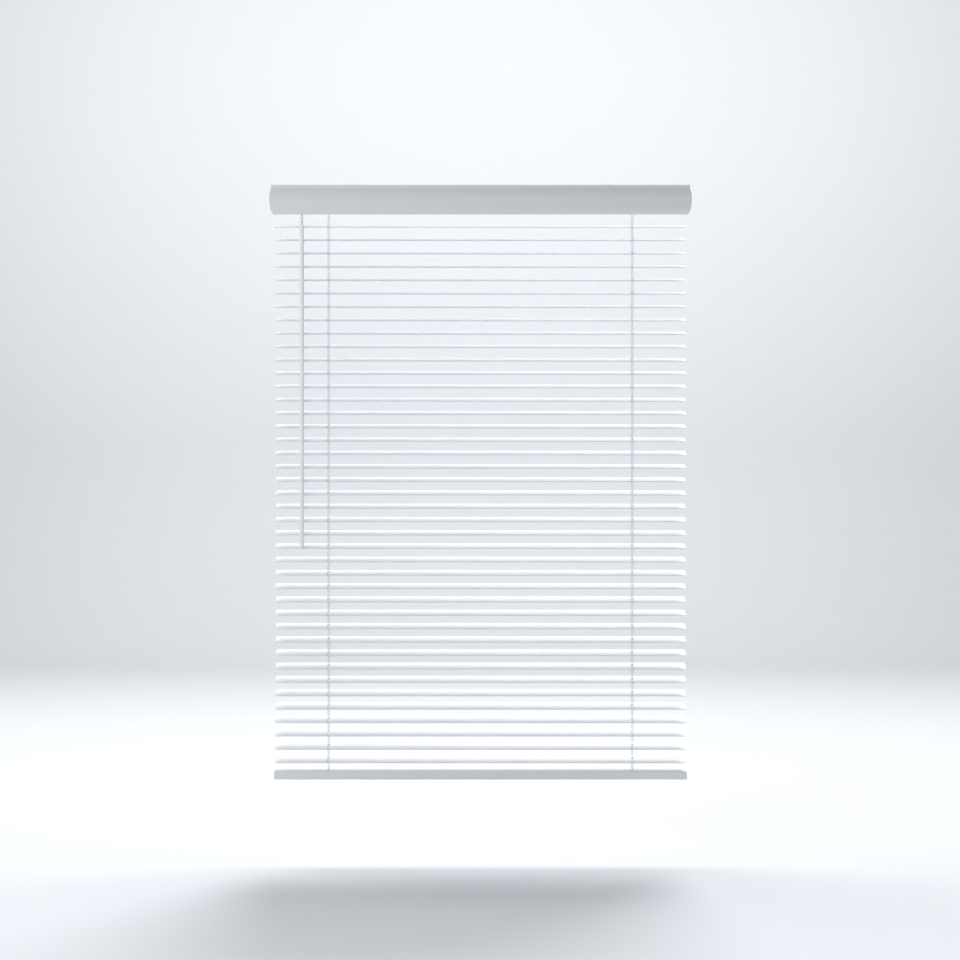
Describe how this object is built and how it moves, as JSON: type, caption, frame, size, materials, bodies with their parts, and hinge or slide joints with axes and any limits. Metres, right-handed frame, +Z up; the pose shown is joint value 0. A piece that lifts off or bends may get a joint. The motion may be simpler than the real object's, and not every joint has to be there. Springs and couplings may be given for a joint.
{
  "type": "venetian blinds",
  "caption": "Inside-mounted white venetian blind with crowned tilting slats, bowed valance, tilt wand and bottom rail, lifted without a pull cord.",
  "frame": {"origin": "middle of the four bracket screws, on the top face of the brackets", "axes": "+X along the width to the right as seen from the room, -Y to the room, +Z up"},
  "size_m": [1.322, 0.095, 1.873],
  "materials": {
    "slat": "satin",
    "headrail": "satin",
    "bracket": "satin",
    "valance": "satin",
    "clip": "satin",
    "rod": "zinc plated",
    "rocker": "moulded",
    "cradle": "moulded",
    "ladder": "braided polyester",
    "lift_cord": "braided polyester",
    "unit": "moulded",
    "gear": "moulded acetal",
    "hook": "zinc plated wire",
    "wand": "smooth",
    "rail": "satin"
  },
  "bodies": {
    "frame": {"headrail": "headrail", "mounting_brackets": "bracket", "valance": "valance", "valance_clips": "clip", "rocker_cradles": "cradle", "lift_cords": "lift_cord", "lift_unit": "unit", "tilter_housing": "cradle"},
    "tilt_rod": {"tilt_rod": "rod", "tilt_rockers": "rocker", "tilter_wheel": "gear"},
    "front_ladder": {"front_ladder_cords": "ladder"},
    "rear_ladder": {"rear_ladder_cords": "ladder"},
    "tilter_worm": {"tilter_worm": "gear"},
    "wand_hook": {"wand_hook": "hook"},
    "wand": {"wand": "wand"},
    "bottom_rail": {"bottom_rail": "rail"},
    "left_bracket_door": {"left_bracket_door": "bracket"},
    "right_bracket_door": {"right_bracket_door": "bracket"},
    "slat_01": {"slat_01": "slat"},
    "slat_02": {"slat_02": "slat"},
    "slat_03": {"slat_03": "slat"},
    "slat_04": {"slat_04": "slat"},
    "slat_05": {"slat_05": "slat"},
    "slat_06": {"slat_06": "slat"},
    "slat_07": {"slat_07": "slat"},
    "slat_08": {"slat_08": "slat"},
    "slat_09": {"slat_09": "slat"},
    "slat_10": {"slat_10": "slat"},
    "slat_11": {"slat_11": "slat"},
    "slat_12": {"slat_12": "slat"},
    "slat_13": {"slat_13": "slat"},
    "slat_14": {"slat_14": "slat"},
    "slat_15": {"slat_15": "slat"},
    "slat_16": {"slat_16": "slat"},
    "slat_17": {"slat_17": "slat"},
    "slat_18": {"slat_18": "slat"},
    "slat_19": {"slat_19": "slat"},
    "slat_20": {"slat_20": "slat"},
    "slat_21": {"slat_21": "slat"},
    "slat_22": {"slat_22": "slat"},
    "slat_23": {"slat_23": "slat"},
    "slat_24": {"slat_24": "slat"},
    "slat_25": {"slat_25": "slat"},
    "slat_26": {"slat_26": "slat"},
    "slat_27": {"slat_27": "slat"},
    "slat_28": {"slat_28": "slat"},
    "slat_29": {"slat_29": "slat"},
    "slat_30": {"slat_30": "slat"},
    "slat_31": {"slat_31": "slat"},
    "slat_32": {"slat_32": "slat"},
    "slat_33": {"slat_33": "slat"},
    "slat_34": {"slat_34": "slat"},
    "slat_35": {"slat_35": "slat"},
    "slat_36": {"slat_36": "slat"},
    "slat_37": {"slat_37": "slat"},
    "slat_38": {"slat_38": "slat"},
    "slat_39": {"slat_39": "slat"},
    "slat_40": {"slat_40": "slat"},
    "slat_41": {"slat_41": "slat"}
  },
  "joints": [
    {"name": "tilt", "type": "hinge", "parent": "frame", "child": "tilt_rod", "pos_m": [0, 0, -0.031], "axis": [1, 0, 0], "range_deg": [-90, 60]},
    {"name": "slat_01_tilt", "type": "hinge", "parent": "frame", "child": "slat_01", "pos_m": [0, 0, -0.1215], "axis": [1, 0, 0], "range_deg": [-90, 60]},
    {"name": "slat_02_tilt", "type": "hinge", "parent": "frame", "child": "slat_02", "pos_m": [0, 0, -0.16375], "axis": [1, 0, 0], "range_deg": [-90, 60]},
    {"name": "slat_03_tilt", "type": "hinge", "parent": "frame", "child": "slat_03", "pos_m": [0, 0, -0.206], "axis": [1, 0, 0], "range_deg": [-90, 60]},
    {"name": "slat_04_tilt", "type": "hinge", "parent": "frame", "child": "slat_04", "pos_m": [0, 0, -0.24825], "axis": [1, 0, 0], "range_deg": [-90, 60]},
    {"name": "slat_05_tilt", "type": "hinge", "parent": "frame", "child": "slat_05", "pos_m": [0, 0, -0.2905], "axis": [1, 0, 0], "range_deg": [-90, 60]},
    {"name": "slat_06_tilt", "type": "hinge", "parent": "frame", "child": "slat_06", "pos_m": [0, 0, -0.33275], "axis": [1, 0, 0], "range_deg": [-90, 60]},
    {"name": "slat_07_tilt", "type": "hinge", "parent": "frame", "child": "slat_07", "pos_m": [0, 0, -0.375], "axis": [1, 0, 0], "range_deg": [-90, 60]},
    {"name": "slat_08_tilt", "type": "hinge", "parent": "frame", "child": "slat_08", "pos_m": [0, 0, -0.41725], "axis": [1, 0, 0], "range_deg": [-90, 60]},
    {"name": "slat_09_tilt", "type": "hinge", "parent": "frame", "child": "slat_09", "pos_m": [0, 0, -0.4595], "axis": [1, 0, 0], "range_deg": [-90, 60]},
    {"name": "slat_10_tilt", "type": "hinge", "parent": "frame", "child": "slat_10", "pos_m": [0, 0, -0.50175], "axis": [1, 0, 0], "range_deg": [-90, 60]},
    {"name": "slat_11_tilt", "type": "hinge", "parent": "frame", "child": "slat_11", "pos_m": [0, 0, -0.544], "axis": [1, 0, 0], "range_deg": [-90, 60]},
    {"name": "slat_12_tilt", "type": "hinge", "parent": "frame", "child": "slat_12", "pos_m": [0, 0, -0.58625], "axis": [1, 0, 0], "range_deg": [-90, 60]},
    {"name": "slat_13_tilt", "type": "hinge", "parent": "frame", "child": "slat_13", "pos_m": [0, 0, -0.6285], "axis": [1, 0, 0], "range_deg": [-90, 60]},
    {"name": "slat_14_tilt", "type": "hinge", "parent": "frame", "child": "slat_14", "pos_m": [0, 0, -0.67075], "axis": [1, 0, 0], "range_deg": [-90, 60]},
    {"name": "slat_15_tilt", "type": "hinge", "parent": "frame", "child": "slat_15", "pos_m": [0, 0, -0.713], "axis": [1, 0, 0], "range_deg": [-90, 60]},
    {"name": "slat_16_tilt", "type": "hinge", "parent": "frame", "child": "slat_16", "pos_m": [0, 0, -0.75525], "axis": [1, 0, 0], "range_deg": [-90, 60]},
    {"name": "slat_17_tilt", "type": "hinge", "parent": "frame", "child": "slat_17", "pos_m": [0, 0, -0.7975], "axis": [1, 0, 0], "range_deg": [-90, 60]},
    {"name": "slat_18_tilt", "type": "hinge", "parent": "frame", "child": "slat_18", "pos_m": [0, 0, -0.83975], "axis": [1, 0, 0], "range_deg": [-90, 60]},
    {"name": "slat_19_tilt", "type": "hinge", "parent": "frame", "child": "slat_19", "pos_m": [0, 0, -0.882], "axis": [1, 0, 0], "range_deg": [-90, 60]},
    {"name": "slat_20_tilt", "type": "hinge", "parent": "frame", "child": "slat_20", "pos_m": [0, 0, -0.92425], "axis": [1, 0, 0], "range_deg": [-90, 60]},
    {"name": "slat_21_tilt", "type": "hinge", "parent": "frame", "child": "slat_21", "pos_m": [0, 0, -0.9665], "axis": [1, 0, 0], "range_deg": [-90, 60]},
    {"name": "slat_22_tilt", "type": "hinge", "parent": "frame", "child": "slat_22", "pos_m": [0, 0, -1.00875], "axis": [1, 0, 0], "range_deg": [-90, 60]},
    {"name": "slat_23_tilt", "type": "hinge", "parent": "frame", "child": "slat_23", "pos_m": [0, 0, -1.051], "axis": [1, 0, 0], "range_deg": [-90, 60]},
    {"name": "slat_24_tilt", "type": "hinge", "parent": "frame", "child": "slat_24", "pos_m": [0, 0, -1.09325], "axis": [1, 0, 0], "range_deg": [-90, 60]},
    {"name": "slat_25_tilt", "type": "hinge", "parent": "frame", "child": "slat_25", "pos_m": [0, 0, -1.1355], "axis": [1, 0, 0], "range_deg": [-90, 60]},
    {"name": "slat_26_tilt", "type": "hinge", "parent": "frame", "child": "slat_26", "pos_m": [0, 0, -1.17775], "axis": [1, 0, 0], "range_deg": [-90, 60]},
    {"name": "slat_27_tilt", "type": "hinge", "parent": "frame", "child": "slat_27", "pos_m": [0, 0, -1.22], "axis": [1, 0, 0], "range_deg": [-90, 60]},
    {"name": "slat_28_tilt", "type": "hinge", "parent": "frame", "child": "slat_28", "pos_m": [0, 0, -1.26225], "axis": [1, 0, 0], "range_deg": [-90, 60]},
    {"name": "slat_29_tilt", "type": "hinge", "parent": "frame", "child": "slat_29", "pos_m": [0, 0, -1.3045], "axis": [1, 0, 0], "range_deg": [-90, 60]},
    {"name": "slat_30_tilt", "type": "hinge", "parent": "frame", "child": "slat_30", "pos_m": [0, 0, -1.34675], "axis": [1, 0, 0], "range_deg": [-90, 60]},
    {"name": "slat_31_tilt", "type": "hinge", "parent": "frame", "child": "slat_31", "pos_m": [0, 0, -1.389], "axis": [1, 0, 0], "range_deg": [-90, 60]},
    {"name": "slat_32_tilt", "type": "hinge", "parent": "frame", "child": "slat_32", "pos_m": [0, 0, -1.43125], "axis": [1, 0, 0], "range_deg": [-90, 60]},
    {"name": "slat_33_tilt", "type": "hinge", "parent": "frame", "child": "slat_33", "pos_m": [0, 0, -1.4735], "axis": [1, 0, 0], "range_deg": [-90, 60]},
    {"name": "slat_34_tilt", "type": "hinge", "parent": "frame", "child": "slat_34", "pos_m": [0, 0, -1.51575], "axis": [1, 0, 0], "range_deg": [-90, 60]},
    {"name": "slat_35_tilt", "type": "hinge", "parent": "frame", "child": "slat_35", "pos_m": [0, 0, -1.558], "axis": [1, 0, 0], "range_deg": [-90, 60]},
    {"name": "slat_36_tilt", "type": "hinge", "parent": "frame", "child": "slat_36", "pos_m": [0, 0, -1.60025], "axis": [1, 0, 0], "range_deg": [-90, 60]},
    {"name": "slat_37_tilt", "type": "hinge", "parent": "frame", "child": "slat_37", "pos_m": [0, 0, -1.6425], "axis": [1, 0, 0], "range_deg": [-90, 60]},
    {"name": "slat_38_tilt", "type": "hinge", "parent": "frame", "child": "slat_38", "pos_m": [0, 0, -1.68475], "axis": [1, 0, 0], "range_deg": [-90, 60]},
    {"name": "slat_39_tilt", "type": "hinge", "parent": "frame", "child": "slat_39", "pos_m": [0, 0, -1.727], "axis": [1, 0, 0], "range_deg": [-90, 60]},
    {"name": "slat_40_tilt", "type": "hinge", "parent": "frame", "child": "slat_40", "pos_m": [0, 0, -1.76925], "axis": [1, 0, 0], "range_deg": [-90, 60]},
    {"name": "slat_41_tilt", "type": "hinge", "parent": "frame", "child": "slat_41", "pos_m": [0, 0, -1.8115], "axis": [1, 0, 0], "range_deg": [-90, 60]},
    {"name": "front_ladder_hang", "type": "hinge", "parent": "tilt_rod", "child": "front_ladder", "pos_m": [0, -0.02608, -0.03799], "axis": [1, 0, 0], "range_deg": [-60, 90], "deforming": ["front_ladder_cords"]},
    {"name": "rear_ladder_hang", "type": "hinge", "parent": "tilt_rod", "child": "rear_ladder", "pos_m": [0, 0.02608, -0.02401], "axis": [1, 0, 0], "range_deg": [-60, 90], "deforming": ["rear_ladder_cords"]},
    {"name": "bottom_rail_tilt", "type": "hinge", "parent": "frame", "child": "bottom_rail", "pos_m": [0, 0, -1.859], "axis": [1, 0, 0], "range_deg": [-54, 36], "deforming": ["lift_cords"]},
    {"name": "worm_turn", "type": "hinge", "parent": "frame", "child": "tilter_worm", "pos_m": [-0.562, -0.01541, -0.02669], "axis": [0, 0.2691, 0.9631], "range_deg": [-1080, 720]},
    {"name": "wand_turn", "type": "hinge", "parent": "frame", "child": "wand_hook", "pos_m": [-0.562, -0.036, -0.105], "axis": [0, 0, 1], "range_deg": [-1080, 720]},
    {"name": "wand_swing", "type": "hinge", "parent": "wand_hook", "child": "wand", "pos_m": [-0.562, -0.036, -0.116], "axis": [-1, 0, 0], "range_deg": [0, 60]},
    {"name": "left_door_slide", "type": "slide", "parent": "frame", "child": "left_bracket_door", "axis": [0, 0, -1], "range_m": [0, 0.05]},
    {"name": "right_door_slide", "type": "slide", "parent": "frame", "child": "right_bracket_door", "axis": [0, 0, -1], "range_m": [0, 0.05]}
  ],
  "couplings": [
    {"joint": "slat_01_tilt", "follows": "tilt", "ratio": 1},
    {"joint": "slat_02_tilt", "follows": "tilt", "ratio": 1},
    {"joint": "slat_03_tilt", "follows": "tilt", "ratio": 1},
    {"joint": "slat_04_tilt", "follows": "tilt", "ratio": 1},
    {"joint": "slat_05_tilt", "follows": "tilt", "ratio": 1},
    {"joint": "slat_06_tilt", "follows": "tilt", "ratio": 1},
    {"joint": "slat_07_tilt", "follows": "tilt", "ratio": 1},
    {"joint": "slat_08_tilt", "follows": "tilt", "ratio": 1},
    {"joint": "slat_09_tilt", "follows": "tilt", "ratio": 1},
    {"joint": "slat_10_tilt", "follows": "tilt", "ratio": 1},
    {"joint": "slat_11_tilt", "follows": "tilt", "ratio": 1},
    {"joint": "slat_12_tilt", "follows": "tilt", "ratio": 1},
    {"joint": "slat_13_tilt", "follows": "tilt", "ratio": 1},
    {"joint": "slat_14_tilt", "follows": "tilt", "ratio": 1},
    {"joint": "slat_15_tilt", "follows": "tilt", "ratio": 1},
    {"joint": "slat_16_tilt", "follows": "tilt", "ratio": 1},
    {"joint": "slat_17_tilt", "follows": "tilt", "ratio": 1},
    {"joint": "slat_18_tilt", "follows": "tilt", "ratio": 1},
    {"joint": "slat_19_tilt", "follows": "tilt", "ratio": 1},
    {"joint": "slat_20_tilt", "follows": "tilt", "ratio": 1},
    {"joint": "slat_21_tilt", "follows": "tilt", "ratio": 1},
    {"joint": "slat_22_tilt", "follows": "tilt", "ratio": 1},
    {"joint": "slat_23_tilt", "follows": "tilt", "ratio": 1},
    {"joint": "slat_24_tilt", "follows": "tilt", "ratio": 1},
    {"joint": "slat_25_tilt", "follows": "tilt", "ratio": 1},
    {"joint": "slat_26_tilt", "follows": "tilt", "ratio": 1},
    {"joint": "slat_27_tilt", "follows": "tilt", "ratio": 1},
    {"joint": "slat_28_tilt", "follows": "tilt", "ratio": 1},
    {"joint": "slat_29_tilt", "follows": "tilt", "ratio": 1},
    {"joint": "slat_30_tilt", "follows": "tilt", "ratio": 1},
    {"joint": "slat_31_tilt", "follows": "tilt", "ratio": 1},
    {"joint": "slat_32_tilt", "follows": "tilt", "ratio": 1},
    {"joint": "slat_33_tilt", "follows": "tilt", "ratio": 1},
    {"joint": "slat_34_tilt", "follows": "tilt", "ratio": 1},
    {"joint": "slat_35_tilt", "follows": "tilt", "ratio": 1},
    {"joint": "slat_36_tilt", "follows": "tilt", "ratio": 1},
    {"joint": "slat_37_tilt", "follows": "tilt", "ratio": 1},
    {"joint": "slat_38_tilt", "follows": "tilt", "ratio": 1},
    {"joint": "slat_39_tilt", "follows": "tilt", "ratio": 1},
    {"joint": "slat_40_tilt", "follows": "tilt", "ratio": 1},
    {"joint": "slat_41_tilt", "follows": "tilt", "ratio": 1},
    {"joint": "front_ladder_hang", "follows": "tilt", "ratio": -1},
    {"joint": "rear_ladder_hang", "follows": "tilt", "ratio": -1},
    {"joint": "bottom_rail_tilt", "follows": "tilt", "ratio": 0.6},
    {"joint": "worm_turn", "follows": "tilt", "ratio": 12},
    {"joint": "wand_turn", "follows": "tilt", "ratio": 12}
  ]
}
